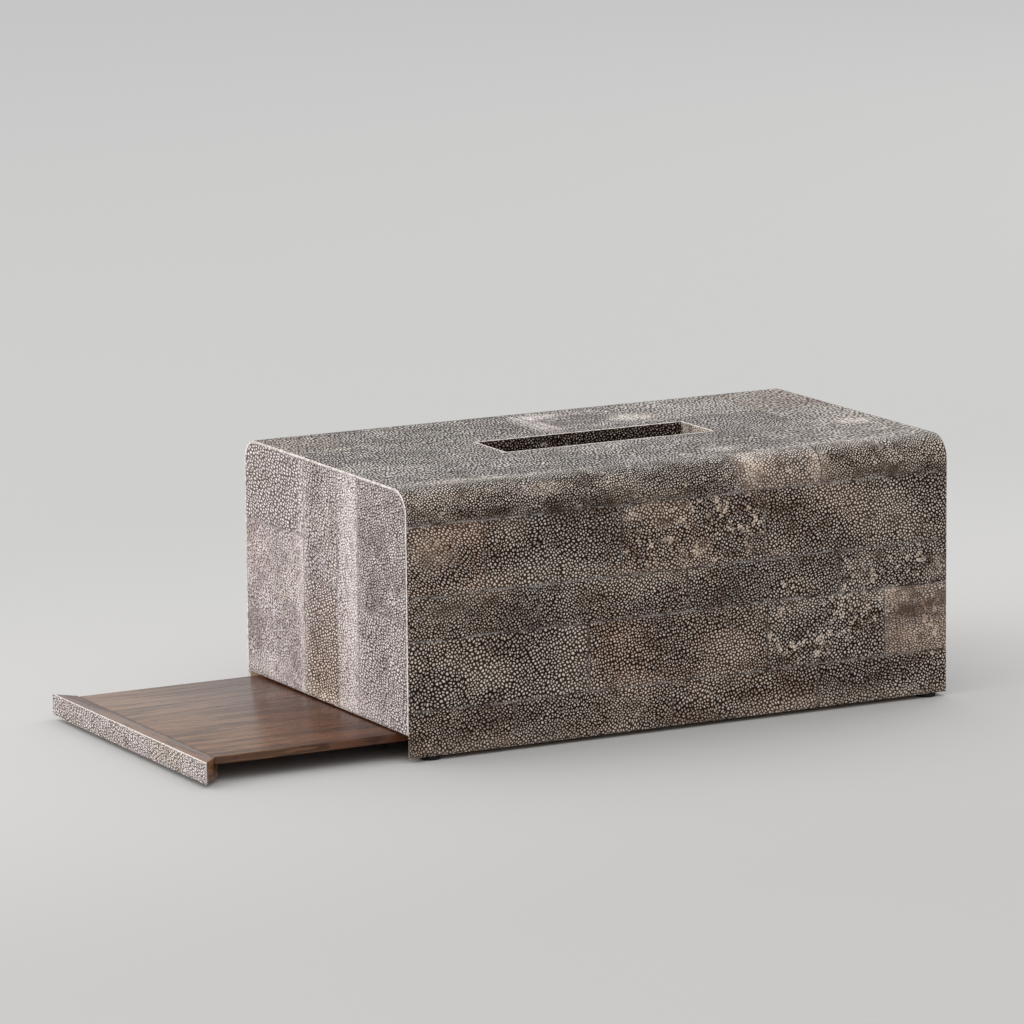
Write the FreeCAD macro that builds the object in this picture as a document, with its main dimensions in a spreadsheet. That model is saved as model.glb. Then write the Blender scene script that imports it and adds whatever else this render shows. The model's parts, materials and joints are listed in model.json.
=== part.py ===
"""Tissue box cover with a sliding base tray, clad in tiles of shagreen.

Every piece is drawn in the box's own coordinates: x runs along the length from the
left end, y across the width from the near side, and z up from the bottom edge of the
walls. The tray is drawn closed. One placement then carries the shell, and another the
tray, into the part's frame, whose origin is the middle of the footprint at floor level
with the tray drawn out.
"""
import FreeCAD, Part
import os
import re

os.makedirs("parts", exist_ok=True)
doc = FreeCAD.newDocument("tissue_box")

# ---------------------------------------------------------------- driving sizes, in mm

SIZES = {
    "box_length": (267.0, "outside length of the shell"),
    "box_width": (156.0, "outside width of the shell"),
    "box_height": (114.6, "height of the shell above its bottom edge"),
    "edge_radius": (10.5, "radius of the two long top edges"),
    "core": (8.4, "thickness of the wooden panels"),
    "skin": (1.0, "thickness of the shagreen"),
    "seam": (0.15, "glue line between two tiles"),
    "mouth": (9.9, "height of the opening under the left end"),
    "slot_length": (103.0, "clear length of the tissue slot"),
    "slot_width": (28.4, "clear width of the tissue slot"),
    "slot_middle": (133.5, "middle of the slot, from the left end"),
    "tray_height": (9.2, "height of the tray's lip"),
    "lip_thickness": (9.2, "thickness of the lip's wood"),
    "lip_rebate": (2.0, "how far the board is let into the lip"),
    "board": (3.65, "thickness of the tray's board"),
    "slide_gap": (0.3, "running gap round the board"),
    "pull_out": (94.7, "how far the tray is drawn out"),
    "runner_width": (6.0, "width of the strips that carry and guide the board"),
    "guide_height": (5.0, "height of the guide strip above the board"),
    "foot_diameter": (8.5, "diameter of a foot"),
    "foot_height": (2.0, "height of a foot"),
    "left_foot_inset": (12.5, "centre of a left foot from the left end of the shell"),
    "right_foot_inset": (7.6, "centre of a right foot from the right end of the shell"),
    "row_one": (19.5, "height of the lowest row of tiles on a side"),
    "row_two": (30.2, "height of the second row"),
    "row_three": (19.0, "height of the third row"),
    "row_four": (30.8, "height of the fourth row"),
    "slot_margin_near": (13.8, "from the slot to the near edge of the middle row on the top"),
    "slot_margin_far": (7.8, "from the slot to the far edge of the middle row on the top"),
    "overcut": (1.0, "how far a cutter runs past what it cuts"),
}

# joints between the tiles of each row, from the left end or, on an end, up from the bottom
JOINTS = {
    "near_row_one": [51.0, 128.0, 201.0],
    "near_row_two": [87.0, 175.6, 235.0],
    "near_row_three": [63.0, 136.0, 212.0],
    "near_row_four": [37.0, 103.5, 174.6],
    "near_edge": [87.0, 160.0, 203.0],
    "top_near": [58.0, 141.0, 196.0],
    "top_middle": [46.0, 229.0],
    "top_far": [31.0, 127.0, 172.0, 231.0],
    "far_edge": [72.0, 149.0, 215.0],
    "far_row_one": [58.0, 131.0, 214.0],
    "far_row_two": [33.0, 97.0, 184.0],
    "far_row_three": [76.0, 152.0, 206.0],
    "far_row_four": [44.0, 119.0, 191.0],
    "left_column_one": [58.0],
    "left_column_two": [],
    "left_column_three": [62.0],
    "left_column_four": [79.5],
    "right_column_one": [71.0],
    "right_column_two": [38.0],
    "right_column_three": [85.0],
    "right_column_four": [49.0],
}

# joints between the columns of tiles on each end, from the near side
COLUMNS = {
    "left": [46.0, 65.4, 97.6],
    "right": [38.0, 80.0, 121.0],
}

sheet = doc.addObject("Spreadsheet::Sheet", "Sizes")
aliases = {}


def add_size(alias, value, note):
    row = len(aliases) + 1
    sheet.set(f"A{row}", note)
    sheet.set(f"B{row}", str(value))
    sheet.setAlias(f"B{row}", alias)
    aliases[alias] = value


def joint_name(row, number):
    return f"{row}_joint_{number}"


for alias, (value, note) in SIZES.items():
    add_size(alias, value, note)
for row, places in JOINTS.items():
    for number, place in enumerate(places):
        add_size(joint_name(row, number), place, f"joint {number + 1} along {row}")
for end, places in COLUMNS.items():
    for number, place in enumerate(places):
        add_size(joint_name(end, number), place, f"column joint {number + 1} on the {end} end")
doc.recompute()

# ---------------------------------------------------------------- worked-out places

WALL = "(skin + core)"
INNER_RIGHT = f"(box_length - {WALL})"
INNER_FAR = f"(box_width - {WALL})"
INNER_TOP = f"(box_height - {WALL})"
SKIN_RIGHT = "(box_length - skin)"
SKIN_FAR = "(box_width - skin)"
SKIN_TOP = "(box_height - skin)"
LIP_BACK = "(skin + lip_thickness)"
BOARD_FRONT = f"({LIP_BACK} - lip_rebate)"
BOARD_BOTTOM = "(tray_height - board)"
SLOT_LEFT = "(slot_middle - slot_length / 2)"
SLOT_RIGHT = "(slot_middle + slot_length / 2)"
SLOT_NEAR = "(box_width / 2 - slot_width / 2)"
SLOT_FAR = "(box_width / 2 + slot_width / 2)"
TOP_SEAMS = ["edge_radius", f"({SLOT_NEAR} - slot_margin_near)",
             f"({SLOT_FAR} + slot_margin_far)", "(box_width - edge_radius)"]
SIDE_SEAMS = ["0", "row_one", "(row_one + row_two)", "(row_one + row_two + row_three)",
              "(row_one + row_two + row_three + row_four)"]

SHELL_PLACE = ("(pull_out - box_length) / 2", "-box_width / 2", "foot_height")
TRAY_PLACE = ("-(pull_out + box_length) / 2", "-box_width / 2", "foot_height")


def bind(item, target, words):
    """Ties one property of an object to an expression written with the sheet's names."""
    named = re.sub(r"[a-z]\w*", lambda word: f"Sizes.{word.group()}", words)
    item.setExpression(target, named)


def block(name, low, high):
    """A box between two corners, each given as three expressions."""
    item = doc.addObject("Part::Box", name)
    for side, axis, start, end in zip(("Length", "Width", "Height"), "xyz", low, high):
        bind(item, side, f"({end}) - ({start})")
        bind(item, f"Placement.Base.{axis}", start)
    return item


def frustum(name, turn, spans):
    """A panel with mitred edges: spans names each of the wedge's ten limits."""
    item = doc.addObject("Part::Wedge", name)
    for limit, words in spans.items():
        bind(item, limit, words)
    item.Placement.Rotation = turn
    return item


def rod(name, radius, start, end, across, up):
    """A cylinder along x between two places."""
    item = doc.addObject("Part::Cylinder", name)
    item.Placement.Rotation = FreeCAD.Rotation(FreeCAD.Vector(0, 1, 0), 90)
    bind(item, "Radius", radius)
    bind(item, "Height", f"({end}) - ({start})")
    for axis, words in zip("xyz", (start, across, up)):
        bind(item, f"Placement.Base.{axis}", words)
    return item


def join(name, pieces):
    item = doc.addObject("Part::MultiFuse", name)
    item.Shapes = pieces
    item.Refine = True
    return item


def keep(name, base, tool):
    """What two objects share."""
    item = doc.addObject("Part::Common", name)
    item.Base = base
    item.Tool = tool
    item.Refine = True
    return item


def cut(name, base, tool):
    item = doc.addObject("Part::Cut", name)
    item.Base = base
    item.Tool = tool
    item.Refine = True
    return item


nodes = []


def finish(item, label, place=SHELL_PLACE):
    """Names a finished piece, carries it into the part's frame and lists it."""
    item.Label = label
    holder = item
    if item.TypeId == "Part::Box":
        holder = doc.addObject("Part::Compound", f"{label}_piece")
        holder.Links = [item]
        item.Label = f"{label}_blank"
        holder.Label = label
    for axis, words in zip("xyz", place):
        bind(holder, f"Placement.Base.{axis}", words)
    nodes.append(holder)


def rounded_block(name, inset, start, end, bottom):
    """The shell's outline, set in all round, with its two long top edges rounded."""
    radius = f"(edge_radius - ({inset}))"
    shoulder = "(box_height - edge_radius)"
    far = "(box_width - edge_radius)"
    pieces = [
        block(f"{name}_body", (start, inset, bottom), (end, f"box_width - ({inset})", shoulder)),
        block(f"{name}_crown", (start, "edge_radius", bottom), (end, far, f"box_height - ({inset})")),
        rod(f"{name}_near_edge", radius, start, end, "edge_radius", shoulder),
        rod(f"{name}_far_edge", radius, start, end, far, shoulder),
    ]
    return join(name, pieces)


# ---------------------------------------------------------------- wooden shell

NO_TURN = FreeCAD.Rotation()
UP_TURN = FreeCAD.Rotation(FreeCAD.Vector(1, 0, 0), 90)
END_TURN = FreeCAD.Rotation(FreeCAD.Vector(0, 0, 1), -90)


def panel_limits(inner_first, low, high, inner, outer):
    """The ten limits of a panel whose inner and outer faces are rectangles."""
    first, second = (inner, outer) if inner_first else (outer, inner)
    return {"Ymin": low, "Ymax": high,
            "Xmin": first[0], "Xmax": first[1], "Zmin": first[2], "Zmax": first[3],
            "X2min": second[0], "X2max": second[1], "Z2min": second[2], "Z2max": second[3]}


def make_core_panels():
    outline = rounded_block("core_outline", "skin", "0", "box_length", "0")
    side_outer = ("skin", SKIN_RIGHT, "0", SKIN_TOP)
    side_inner = (WALL, INNER_RIGHT, "0", INNER_TOP)
    top_outer = ("skin", SKIN_RIGHT, f"-{SKIN_FAR}", "-skin")
    top_inner = (WALL, INNER_RIGHT, f"-{INNER_FAR}", f"-{WALL}")
    left_outer = (f"-{SKIN_FAR}", "-skin", "mouth", SKIN_TOP)
    left_inner = (f"-{INNER_FAR}", f"-{WALL}", "mouth", INNER_TOP)
    right_outer = (f"-{SKIN_FAR}", "-skin", "0", SKIN_TOP)
    right_inner = (f"-{INNER_FAR}", f"-{WALL}", "0", INNER_TOP)
    panels = {
        "near_side_panel": (NO_TURN, panel_limits(False, "skin", WALL, side_inner, side_outer)),
        "far_side_panel": (NO_TURN, panel_limits(True, INNER_FAR, SKIN_FAR, side_inner, side_outer)),
        "left_end_panel": (END_TURN, panel_limits(False, "skin", WALL, left_inner, left_outer)),
        "right_end_panel": (END_TURN, panel_limits(True, INNER_RIGHT, SKIN_RIGHT, right_inner, right_outer)),
        "top_panel": (UP_TURN, panel_limits(True, INNER_TOP, SKIN_TOP, top_inner, top_outer)),
    }
    slot = block("slot_cutter",
                 (f"{SLOT_LEFT} - skin", f"{SLOT_NEAR} - skin", f"{INNER_TOP} - overcut"),
                 (f"{SLOT_RIGHT} + skin", f"{SLOT_FAR} + skin", "box_height + overcut"))
    for name, (turn, limits) in panels.items():
        panel = keep(f"{name}_rounded", frustum(f"{name}_blank", turn, limits), outline)
        if name == "top_panel":
            panel = cut("top_panel_slotted", panel, slot)
        finish(panel, name)
    return slot


def make_strips():
    """The strips along both sides that carry the board and keep it from tipping."""
    guide_bottom = "(tray_height + slide_gap)"
    heights = {
        "runner": (f"{LIP_BACK} + slide_gap", "0", f"{BOARD_BOTTOM} - slide_gap"),
        "guide_rail": (WALL, guide_bottom, f"{guide_bottom} + guide_height"),
    }
    sides = {
        "near": (WALL, f"{WALL} + runner_width"),
        "far": (f"{INNER_FAR} - runner_width", INNER_FAR),
    }
    for side, (y_low, y_high) in sides.items():
        for strip, (x_low, z_low, z_high) in heights.items():
            name = f"{side}_{strip}"
            finish(block(f"{name}_blank", (x_low, y_low, z_low), (INNER_RIGHT, y_high, z_high)), name)


def make_feet():
    across = {"near": f"{WALL} / 2", "far": f"box_width - {WALL} / 2"}
    along = {"left": "left_foot_inset", "right": "box_length - right_foot_inset"}
    for side, y_words in across.items():
        for end, x_words in along.items():
            name = f"{side}_{end}_foot"
            pad = doc.addObject("Part::Cylinder", f"{name}_blank")
            bind(pad, "Radius", "foot_diameter / 2")
            bind(pad, "Height", "foot_height")
            for axis, words in zip("xyz", (x_words, y_words, "-foot_height")):
                bind(pad, f"Placement.Base.{axis}", words)
            holder = doc.addObject("Part::Compound", f"{name}_piece")
            holder.Links = [pad]
            finish(holder, name)


# ---------------------------------------------------------------- shagreen cladding


def split(name, row, joints, axis, low, high):
    """Saws a row of tiles apart at its joints; axis is the row's direction."""
    saws = []
    for number in range(joints):
        place = joint_name(name, number)
        start, end = list(low), list(high)
        start[axis] = f"{place} - seam / 2"
        end[axis] = f"{place} + seam / 2"
        saws.append(block(f"{name}_saw_{number}", start, end))
    if not saws:
        return row
    tool = saws[0] if len(saws) == 1 else join(f"{name}_saws", saws)
    return cut(f"{name}_tiles", row, tool)


def lay_row(name, hide, axis, low, high, trims=()):
    """One row of tiles: the part of a hide inside a box, trimmed and sawn into tiles."""
    row = keep(f"{name}_row", hide, block(f"{name}_band", low, high))
    for number, trim in enumerate(trims):
        row = cut(f"{name}_trim_{number}", row, trim)
    finish(split(name, row, len(JOINTS[name]), axis, low, high), name + "_tiles")


def band(seams, number):
    """Where row number lies between its seams, half a glue line clear at each inner one."""
    low = seams[number] if number == 0 else f"{seams[number]} + seam / 2"
    return low, f"{seams[number + 1]} - seam / 2"


def make_wrap_tiles(slot):
    """Tiles on both sides, over both rounded edges and on the top."""
    outer = rounded_block("wrap_outer", "0", "0", "box_length", "0")
    inner = rounded_block("wrap_inner", "skin", "-overcut", "box_length + overcut", "-overcut")
    hide = cut("wrap_hide", outer, inner)
    mouth = frustum("mouth_cutter", END_TURN, panel_limits(
        False, "0", WALL, (f"-{INNER_FAR}", f"-{WALL}", "-overcut", "mouth"),
        ("-box_width", "0", "-overcut", "mouth")))
    left, right = "-overcut", "box_length + overcut"
    depths = {"near": ("-overcut", "edge_radius"),
              "far": ("box_width - edge_radius", "box_width + overcut")}
    for side, (y_low, y_high) in depths.items():
        for number, row in enumerate(("one", "two", "three", "four")):
            z_low, z_high = band(SIDE_SEAMS, number)
            trims = [mouth] if number == 0 else []
            lay_row(f"{side}_row_{row}", hide, 0, (left, y_low, z_low), (right, y_high, z_high), trims)
    edge_bottom = f"{SIDE_SEAMS[-1]} + seam / 2"
    over = "box_height + overcut"
    lay_row("near_edge", hide, 0, (left, "-overcut", edge_bottom),
            (right, "edge_radius - seam / 2", over))
    lay_row("far_edge", hide, 0, (left, "box_width - edge_radius + seam / 2", edge_bottom),
            (right, "box_width + overcut", over))
    for number, row in enumerate(("near", "middle", "far")):
        y_low = f"{TOP_SEAMS[number]} + seam / 2"
        y_high = f"{TOP_SEAMS[number + 1]} - seam / 2"
        lay_row(f"top_{row}", hide, 0, (left, y_low, INNER_TOP), (right, y_high, over), [slot])


def make_end_tiles():
    """Tiles in upright columns on both ends, inside the edge of the wrapping tiles."""
    outline = rounded_block("end_outline", "skin", "0", "box_length", "0")
    ends = {"left": ("0", "skin", "mouth"), "right": (SKIN_RIGHT, "box_length", "0")}
    numbers = ("one", "two", "three", "four")
    for end, (x_low, x_high, z_low) in ends.items():
        hide = keep(f"{end}_hide", outline,
                    block(f"{end}_sheet", (x_low, "0", z_low), (x_high, "box_width", "box_height")))
        seams = [joint_name(end, number) for number in range(len(COLUMNS[end]))]
        starts = ["0"] + [f"{seam} + seam / 2" for seam in seams]
        stops = [f"{seam} - seam / 2" for seam in seams] + ["box_width"]
        for number, (y_low, y_high) in enumerate(zip(starts, stops)):
            lay_row(f"{end}_column_{numbers[number]}", hide, 2,
                    (x_low, y_low, z_low), (x_high, y_high, "box_height"))


def make_slot_lining():
    """Shagreen on the four walls of the slot, flush with the top."""
    low, high = INNER_TOP, "box_height"
    strips = {
        "slot_lining_near": ((f"{SLOT_LEFT} - skin", f"{SLOT_NEAR} - skin"),
                             (f"{SLOT_RIGHT} + skin", SLOT_NEAR)),
        "slot_lining_far": ((f"{SLOT_LEFT} - skin", SLOT_FAR),
                            (f"{SLOT_RIGHT} + skin", f"{SLOT_FAR} + skin")),
        "slot_lining_left": ((f"{SLOT_LEFT} - skin", SLOT_NEAR), (SLOT_LEFT, SLOT_FAR)),
        "slot_lining_right": ((SLOT_RIGHT, SLOT_NEAR), (f"{SLOT_RIGHT} + skin", SLOT_FAR)),
    }
    for name, (start, end) in strips.items():
        finish(block(f"{name}_blank", (*start, low), (*end, high)), name)


# ---------------------------------------------------------------- sliding tray


def make_tray():
    """A flat board let into a mitred lip, whose front is faced with shagreen."""
    board = block("tray_board_blank",
                  (BOARD_FRONT, f"{WALL} + slide_gap", BOARD_BOTTOM),
                  (f"{INNER_RIGHT} - slide_gap", f"{INNER_FAR} - slide_gap", "tray_height"))
    finish(board, "tray_board", TRAY_PLACE)
    lip_blank = frustum("tray_lip_blank", END_TURN, panel_limits(
        False, "skin", LIP_BACK, (f"{LIP_BACK} - box_width", f"-{LIP_BACK}", "0", "tray_height"),
        (f"-{SKIN_FAR}", "-skin", "0", "tray_height")))
    rebate = block("lip_rebate_cutter", (BOARD_FRONT, "0", BOARD_BOTTOM),
                   (f"{LIP_BACK} + overcut", "box_width", "tray_height + overcut"))
    finish(cut("tray_lip_rebated", lip_blank, rebate), "tray_lip", TRAY_PLACE)
    facing = frustum("tray_facing_blank", END_TURN, panel_limits(
        False, "0", "skin", (f"-{SKIN_FAR}", "-skin", "0", "tray_height"),
        ("-box_width", "0", "0", "tray_height")))
    holder = doc.addObject("Part::Compound", "tray_facing_piece")
    holder.Links = [facing]
    finish(holder, "tray_facing", TRAY_PLACE)


slot_cutter = make_core_panels()
make_strips()
make_feet()
make_wrap_tiles(slot_cutter)
make_end_tiles()
make_slot_lining()
make_tray()
doc.recompute()

# ---------------------------------------------------------------- checks and files

failed = [item.Label for item in doc.Objects if {"Invalid", "Error"} & set(item.State)]
if failed:
    raise RuntimeError(f"objects that failed: {failed}")
for node in nodes:
    if node.Shape.isNull() or not node.Shape.isValid() or not node.Shape.Solids:
        raise RuntimeError(f"{node.Label} has no valid solid")
for node in nodes:
    node.Shape.exportStep(f"parts/{node.Label}.step")
    solids = len(node.Shape.Solids)
    print(f"{node.Label}: {solids} solid{'s' if solids > 1 else ''}, {node.Shape.Volume:.1f} mm3")
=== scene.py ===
import json
import math
import random

import bpy
from mathutils import Matrix, Vector

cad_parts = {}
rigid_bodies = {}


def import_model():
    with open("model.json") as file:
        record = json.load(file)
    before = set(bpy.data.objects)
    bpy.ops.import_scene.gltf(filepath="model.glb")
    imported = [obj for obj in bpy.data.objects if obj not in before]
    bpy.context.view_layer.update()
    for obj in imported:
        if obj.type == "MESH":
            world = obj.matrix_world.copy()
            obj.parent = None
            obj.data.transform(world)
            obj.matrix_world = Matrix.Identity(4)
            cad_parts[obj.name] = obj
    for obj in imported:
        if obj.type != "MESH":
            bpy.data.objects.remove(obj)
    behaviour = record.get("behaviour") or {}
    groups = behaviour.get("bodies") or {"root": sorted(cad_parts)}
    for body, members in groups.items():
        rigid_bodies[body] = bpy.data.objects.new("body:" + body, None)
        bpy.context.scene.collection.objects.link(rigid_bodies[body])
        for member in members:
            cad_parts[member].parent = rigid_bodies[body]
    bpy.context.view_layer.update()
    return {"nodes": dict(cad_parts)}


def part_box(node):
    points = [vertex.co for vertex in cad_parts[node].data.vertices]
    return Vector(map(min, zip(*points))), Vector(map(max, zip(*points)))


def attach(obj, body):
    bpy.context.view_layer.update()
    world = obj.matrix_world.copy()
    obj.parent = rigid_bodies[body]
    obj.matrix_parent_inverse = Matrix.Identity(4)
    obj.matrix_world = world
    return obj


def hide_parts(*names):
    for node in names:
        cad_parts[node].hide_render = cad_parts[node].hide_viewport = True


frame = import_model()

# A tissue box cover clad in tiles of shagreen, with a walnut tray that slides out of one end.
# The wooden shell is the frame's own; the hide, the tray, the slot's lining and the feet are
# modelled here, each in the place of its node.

MM = 0.001
X, Y, Z = 0, 1, 2
LETTER = "XYZ"

# ------------------------------------------------------------------ places, from the frame

SHELL_LOW = Vector((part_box("near_row_two_tiles")[0].x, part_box("near_row_two_tiles")[0].y,
                    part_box("near_row_one_tiles")[0].z))
SHELL_HIGH = Vector((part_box("near_row_two_tiles")[1].x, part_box("far_row_two_tiles")[1].y,
                     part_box("top_near_tiles")[1].z))
SKIN = SHELL_HIGH.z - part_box("top_near_tiles")[0].z
HAIR = 0.01 * MM


def gaps(node, axis):
    """The gaps between a row's tiles along an axis, which no face of theirs spans."""
    mesh = frame["nodes"][node].data
    spans = []
    for face in mesh.polygons:
        places = [mesh.vertices[i].co[axis] for i in face.vertices]
        spans.append((min(places), max(places)))
    spans.sort()
    found = []
    reach = spans[0][1]
    for low, high in spans:
        if low > reach + HAIR:
            found.append((reach, low))
        reach = max(reach, high)
    return found


def joints(node, axis):
    """Where a row's tiles meet along an axis."""
    return [(low + high) / 2 for low, high in gaps(node, axis)]


GLUE_LINE = gaps("near_row_two_tiles", X)[0]
SEAM = GLUE_LINE[1] - GLUE_LINE[0]
EDGE_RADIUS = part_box("near_edge_tiles")[1].y + SEAM / 2 - SHELL_LOW.y
SHOULDER = SHELL_HIGH.z - EDGE_RADIUS
SLOT_LOW = Vector((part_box("slot_lining_left")[1].x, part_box("slot_lining_near")[1].y, 0))
SLOT_HIGH = Vector((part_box("slot_lining_right")[0].x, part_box("slot_lining_far")[0].y, 0))

# ------------------------------------------------------------------ small modelling helpers

PARALLEL = 0.99
SHARP_EDGE = math.radians(40)
SHADING_BREAK = math.radians(35)


def clear_selection():
    if bpy.context.object and bpy.context.object.mode != "OBJECT":
        bpy.ops.object.mode_set(mode="OBJECT")
    bpy.ops.object.select_all(action="DESELECT")


def start_block(name, low, high):
    """A new mesh that starts as a block between two corners, left in edit mode."""
    clear_selection()
    bpy.ops.mesh.primitive_cube_add(size=1, location=(low + high) / 2, scale=high - low)
    return open_piece(name)


# How a sheet turns to face each way, and which axes then run across it and along it.
SHEET_TURNS = {
    (0, -1, 0): ((math.pi / 2, 0, 0), (X, Z)),
    (0, 1, 0): ((-math.pi / 2, 0, 0), (X, Z)),
    (-1, 0, 0): ((0, -math.pi / 2, 0), (Z, Y)),
    (1, 0, 0): ((0, math.pi / 2, 0), (Z, Y)),
    (0, 0, 1): ((0, 0, 0), (X, Y)),
}


def start_sheet(name, facing, low, high):
    """A new flat sheet that faces one way, left in edit mode; low and high are its corners."""
    clear_selection()
    turn, (across, along) = SHEET_TURNS[facing]
    size = high - low
    bpy.ops.mesh.primitive_plane_add(size=1, location=(low + high) / 2, rotation=turn)
    bpy.context.object.scale = (size[across], size[along], 1)
    return open_piece(name)


def open_piece(name):
    """Names the piece that was just added and opens it for editing."""
    piece = bpy.context.object
    piece.name = name
    piece.data.name = name
    bpy.ops.object.transform_apply(location=True, rotation=True, scale=True)
    bpy.ops.object.mode_set(mode="EDIT")
    return piece


def saw(axis, place):
    """Cuts the mesh that is being edited across an axis, keeping both sides."""
    bpy.ops.mesh.select_all(action="SELECT")
    square = [0, 0, 0]
    square[axis] = 1
    point = [value * place for value in square]
    bpy.ops.mesh.bisect(plane_co=point, plane_no=square)


def remove_faces(piece, test):
    select_faces(piece, test)
    bpy.ops.mesh.delete(type="FACE")


def select_edges(piece, test):
    """Selects the edges whose two ends pass a test."""
    bpy.ops.mesh.select_mode(type="EDGE")
    bpy.ops.mesh.select_all(action="DESELECT")
    bpy.ops.object.mode_set(mode="OBJECT")
    mesh = piece.data
    for edge in mesh.edges:
        start, end = (mesh.vertices[i].co for i in edge.vertices)
        edge.select = test(start, end)
    bpy.ops.object.mode_set(mode="EDIT")


def select_faces(piece, test):
    """Selects the faces whose centre and normal pass a test."""
    bpy.ops.mesh.select_mode(type="FACE")
    bpy.ops.mesh.select_all(action="DESELECT")
    bpy.ops.object.mode_set(mode="OBJECT")
    for face in piece.data.polygons:
        face.select = test(face.center, face.normal)
    bpy.ops.object.mode_set(mode="EDIT")


def cut_along(piece, axis, cuts):
    """Divides every long edge that runs along an axis."""
    def runs_along(start, end):
        span = end - start
        return span.length > MM and abs(span.normalized()[axis]) > PARALLEL

    select_edges(piece, runs_along)
    bpy.ops.mesh.subdivide(number_cuts=cuts)


def pick(piece):
    """Makes one piece the only one chosen."""
    clear_selection()
    piece.select_set(True)
    bpy.context.view_layer.objects.active = piece


def modify(piece, kind, **settings):
    """Adds a modifier and applies it."""
    pick(piece)
    modifier = piece.modifiers.new(kind.lower(), kind)
    for name, value in settings.items():
        setattr(modifier, name, value)
    bpy.ops.object.modifier_apply(modifier=modifier.name)


def group(piece, name, test):
    """A vertex group of the points whose place passes a test."""
    chosen = piece.vertex_groups.new(name=name)
    chosen.add([point.index for point in piece.data.vertices if test(point.co)], 1.0, "REPLACE")


def soften(piece, width, segments):
    """Rounds a piece's sharp edges and smooths its shading over what is left."""
    modify(piece, "BEVEL", width=width, segments=segments, limit_method="ANGLE",
           angle_limit=SHARP_EDGE)
    pick(piece)
    bpy.ops.object.shade_smooth_by_angle(angle=SHADING_BREAK)


def settle(piece, body, node):
    """The piece rides on a body and stands for a node."""
    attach(piece, body)
    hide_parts(node)


# ------------------------------------------------------------------ materials

GRAIN_SCATTER = 0.80
SAWN_BELOW = 20 * MM
# Along the box, where the painted reflection that lightens the tray's board towards its front gives way
# to its darker colour by the box, as painted shade, and where it ends.
PAINTED_REFLECTION_SPAN = (-160 * MM, -85 * MM)


class Recipe:
    """A material's node tree, built step by step."""

    def __init__(self, name):
        self.material = bpy.data.materials.new(name)
        self.material.use_nodes = True
        self.tree = self.material.node_tree
        self.shader = self.tree.nodes["Principled BSDF"]

    def feed(self, socket, value):
        """Gives a socket a link or a constant, and leaves it alone for None."""
        if isinstance(value, bpy.types.NodeSocket):
            self.tree.links.new(value, socket)
        elif value is not None:
            socket.default_value = value

    def add(self, kind, settings=(), **inputs):
        item = self.tree.nodes.new("ShaderNode" + kind)
        for name, value in dict(settings).items():
            setattr(item, name, value)
        for name, value in inputs.items():
            self.feed(item.inputs[name.replace("_", " ")], value)
        return item

    def place(self):
        return self.add("TexCoord").outputs["Object"]

    def normal(self):
        return self.add("NewGeometry").outputs["Normal"]

    def chart(self, name):
        return self.add("UVMap", {"uv_map": name}).outputs["UV"]

    def value(self, name):
        return self.add("Attribute", {"attribute_name": name}).outputs["Fac"]

    def part(self, vector, letter):
        """One of a vector's three numbers."""
        return self.add("SeparateXYZ", Vector=vector).outputs[letter]

    def math(self, operation, *values, kind="Math"):
        item = self.add(kind, {"operation": operation})
        for socket, value in zip(item.inputs, values):
            self.feed(socket, value)
        return item.outputs[0]

    def vector(self, operation, *values):
        return self.math(operation, *values, kind="VectorMath")

    def scaled(self, vector, scale):
        return self.add("Mapping", Vector=vector, Scale=scale).outputs[0]

    def noise(self, vector, scale, detail=2.0, roughness=0.5, dimensions="3D"):
        item = self.add("TexNoise", {"noise_dimensions": dimensions}, Vector=vector, Scale=scale,
                        Detail=detail, Roughness=roughness)
        return item.outputs["Fac"]

    def spread(self, value, low, high, out_low=0.0, out_high=1.0, kind="LINEAR"):
        """Carries a value from one range to another, and holds it there at the ends."""
        item = self.add("MapRange", {"interpolation_type": kind}, Value=value, From_Min=low,
                        From_Max=high, To_Min=out_low, To_Max=out_high)
        return item.outputs["Result"]

    def smooth(self, *values):
        """As spread, but easing in and out."""
        return self.spread(*values, kind="SMOOTHSTEP")

    def blend(self, share, first, second):
        """Two colours mixed, by the second one's share."""
        item = self.add("Mix", {"data_type": "RGBA"})
        for name, value in (("Factor", share), ("A", first), ("B", second)):
            sockets = [s for s in item.inputs if s.name == name and s.enabled]
            self.feed(sockets[0], value)
        return [s for s in item.outputs if s.enabled][0]

    def bump(self, height, strength, distance):
        return self.add("Bump", Height=height, Strength=strength, Distance=distance).outputs["Normal"]

    def finish(self, color, roughness, normal=None, **constants):
        """Feeds the shader and hands over the material."""
        self.feed(self.shader.inputs["Base Color"], color)
        self.feed(self.shader.inputs["Roughness"], roughness)
        self.feed(self.shader.inputs["Normal"], normal)
        for name, value in constants.items():
            self.shader.inputs[name.replace("_", " ")].default_value = value
        return self.material


def tint(red, green, blue):
    """A colour as the shader reads it, from the 0 to 255 values a painter would mix."""
    def linear(level):
        level /= 255
        return level / 12.92 if level <= 0.04045 else ((level + 0.055) / 1.055) ** 2.4
    return (linear(red), linear(green), linear(blue), 1.0)


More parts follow.
